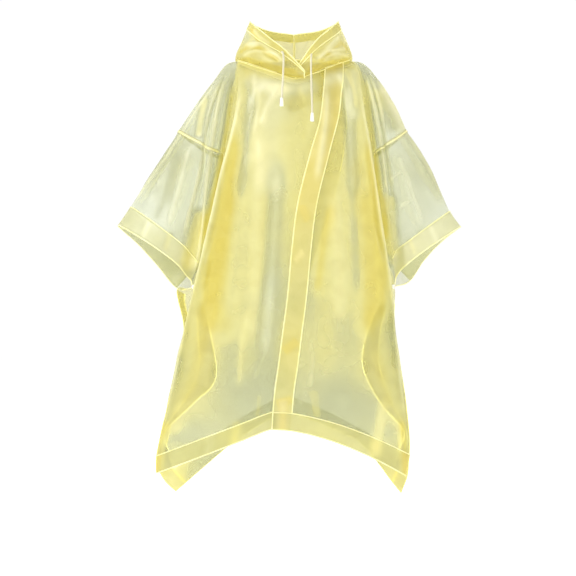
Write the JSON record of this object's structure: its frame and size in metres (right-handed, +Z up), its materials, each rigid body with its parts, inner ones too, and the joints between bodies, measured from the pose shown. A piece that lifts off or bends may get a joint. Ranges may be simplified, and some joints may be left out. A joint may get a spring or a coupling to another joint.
{
  "type": "rain poncho",
  "caption": "Child's hooded rain poncho of thin frosted film, worn, with its hood down, an overlapped front and wide short sleeves.",
  "frame": {"origin": "in the middle of the neck opening, level with the tops of the shoulders, where the wearer's shoulders hold the garment up", "axes": "+Z up from hem to neck; -Y towards the front opening; +X towards the wearer's left arm"},
  "size_m": [0.7575, 0.3356, 1.0431],
  "materials": {
    "frosted_film": "frosted, softly glossy",
    "welded_band": "frosted, softly glossy, doubled",
    "drawstring": "round braid",
    "white_plastic": "satin"
  },
  "bodies": {
    "root": {"front_right": "frosted_film", "front_left": "frosted_film", "back": "frosted_film", "sleeve_right": "frosted_film", "sleeve_left": "frosted_film", "hood_right": "frosted_film", "hood_left": "frosted_film", "placket_band": "welded_band", "hem_front_right": "welded_band", "hem_front_left": "welded_band", "hem_back": "welded_band", "side_band_front_right": "welded_band", "side_band_front_left": "welded_band", "side_band_back_right": "welded_band", "side_band_back_left": "welded_band", "cuff_right": "welded_band", "cuff_left": "welded_band", "sleeve_tape_right": "welded_band", "sleeve_tape_left": "welded_band", "neck_band_right": "welded_band", "neck_band_left": "welded_band", "neck_band_back": "welded_band", "hood_tunnel_right": "welded_band", "hood_tunnel_left": "welded_band", "cord_right": "drawstring", "cord_left": "drawstring", "cord_tip_right": "white_plastic", "cord_tip_left": "white_plastic", "snap_cap_right": "white_plastic", "snap_cap_left": "white_plastic", "snap_stud_right": "white_plastic", "snap_stud_left": "white_plastic"}
  },
  "joints": []
}
